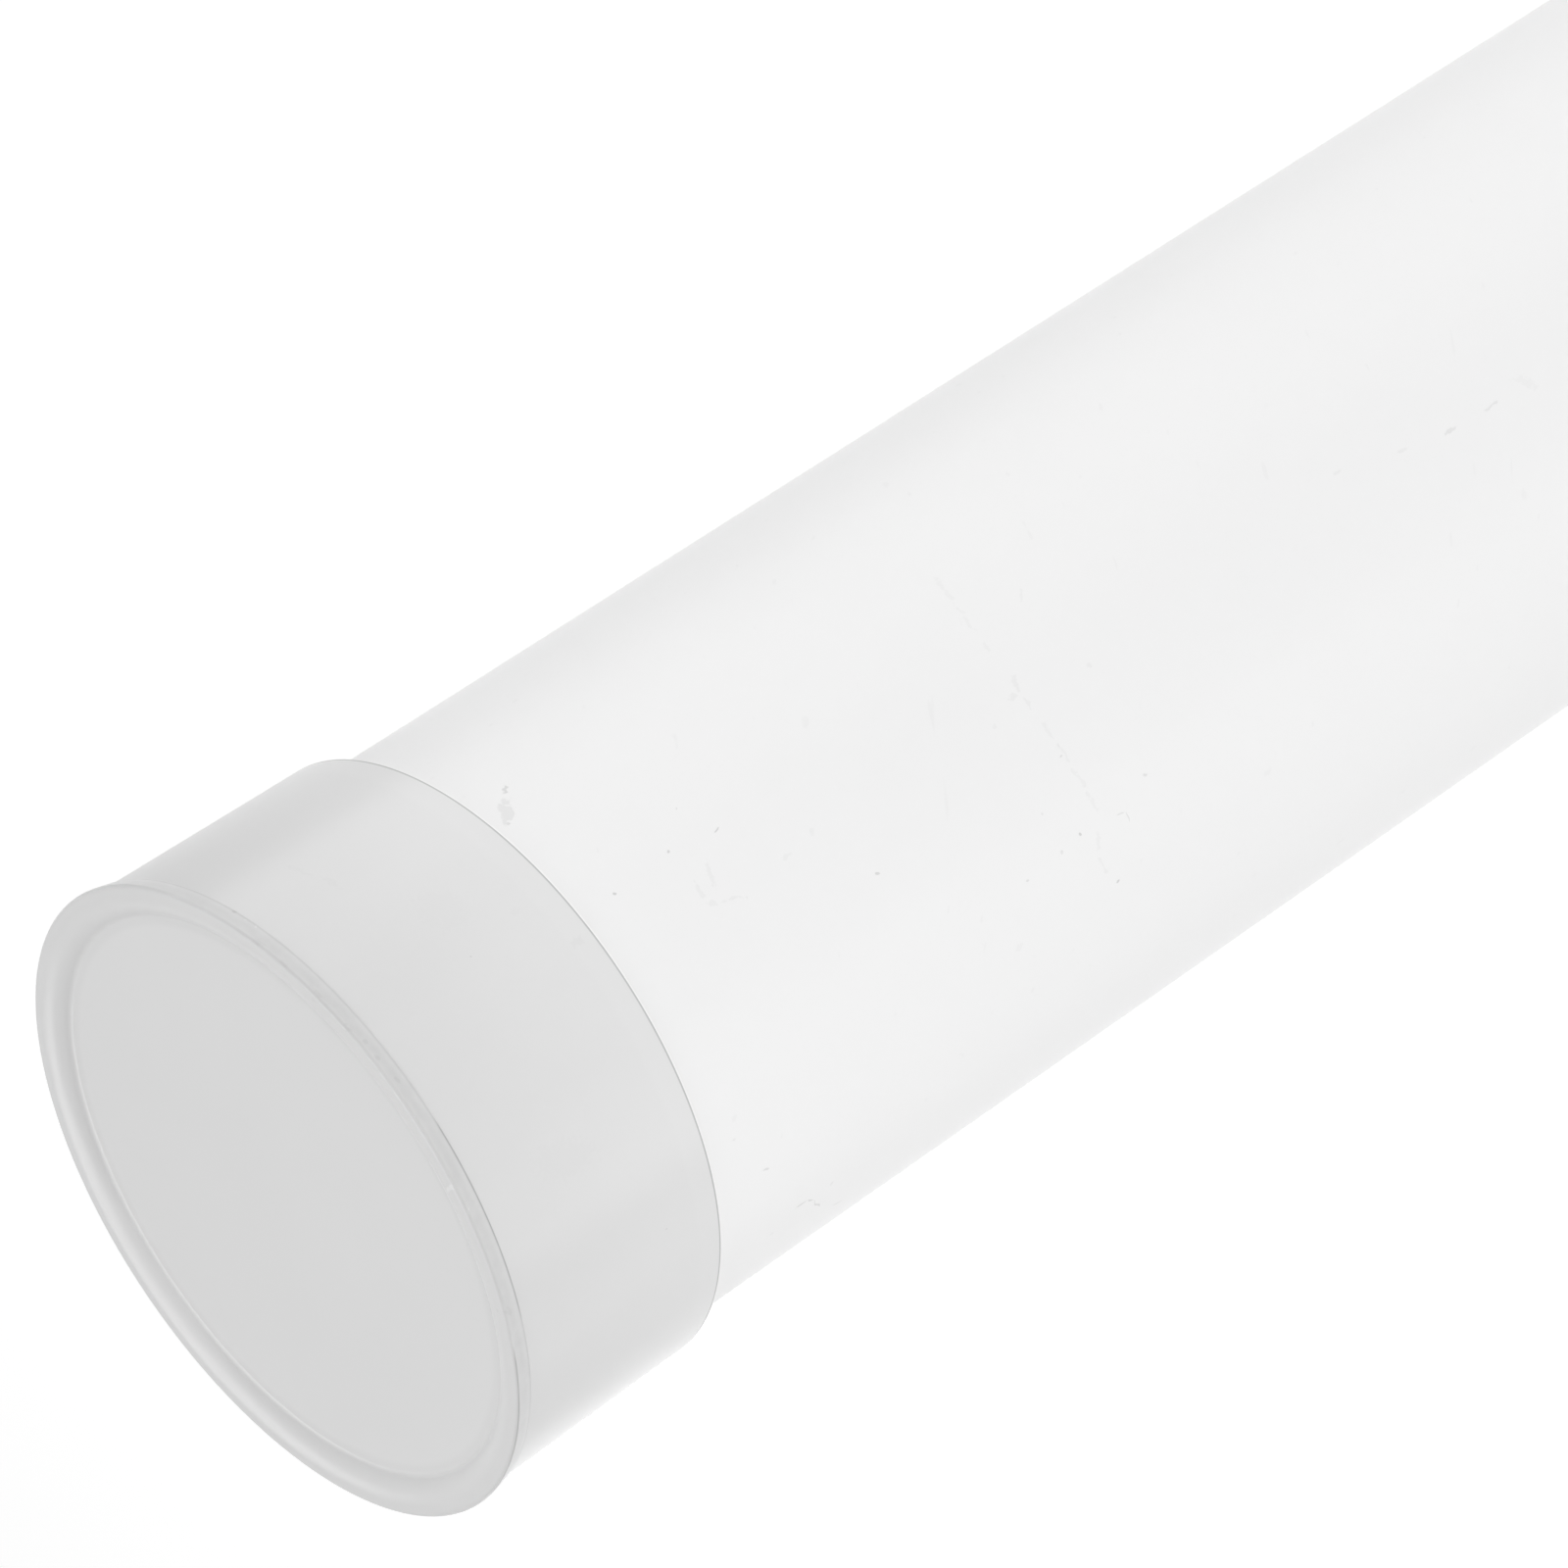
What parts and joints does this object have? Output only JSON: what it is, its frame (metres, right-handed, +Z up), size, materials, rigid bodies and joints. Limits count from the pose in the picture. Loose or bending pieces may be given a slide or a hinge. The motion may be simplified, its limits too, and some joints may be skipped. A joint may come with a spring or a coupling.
{
  "type": "plastic poster tube",
  "caption": "Round white plastic tube for rolled posters and drawings, closed by a translucent slip-on cap over each end.",
  "frame": {"origin": "on the tube's axis, in the plane of the bottom cap's rim, which the tube stands on", "axes": "+Z up the tube's axis from the bottom cap to the top cap; the part is round, so X and Y are free"},
  "size_m": [0.0654, 0.0654, 0.4496],
  "materials": {
    "tube_plastic": "satin white",
    "cap_plastic": "smooth natural polyethylene, slightly translucent"
  },
  "bodies": {
    "bottom_cap": {"bottom_cap": "cap_plastic"},
    "tube": {"tube": "tube_plastic"},
    "top_cap": {"top_cap": "cap_plastic"}
  },
  "joints": [
    {"name": "bottom_cap_pull", "type": "slide", "parent": "bottom_cap", "child": "tube", "axis": [0, 0, 1], "range_m": [0, 0.1]},
    {"name": "top_cap_pull", "type": "slide", "parent": "tube", "child": "top_cap", "axis": [0, 0, 1], "range_m": [0, 0.1]}
  ]
}
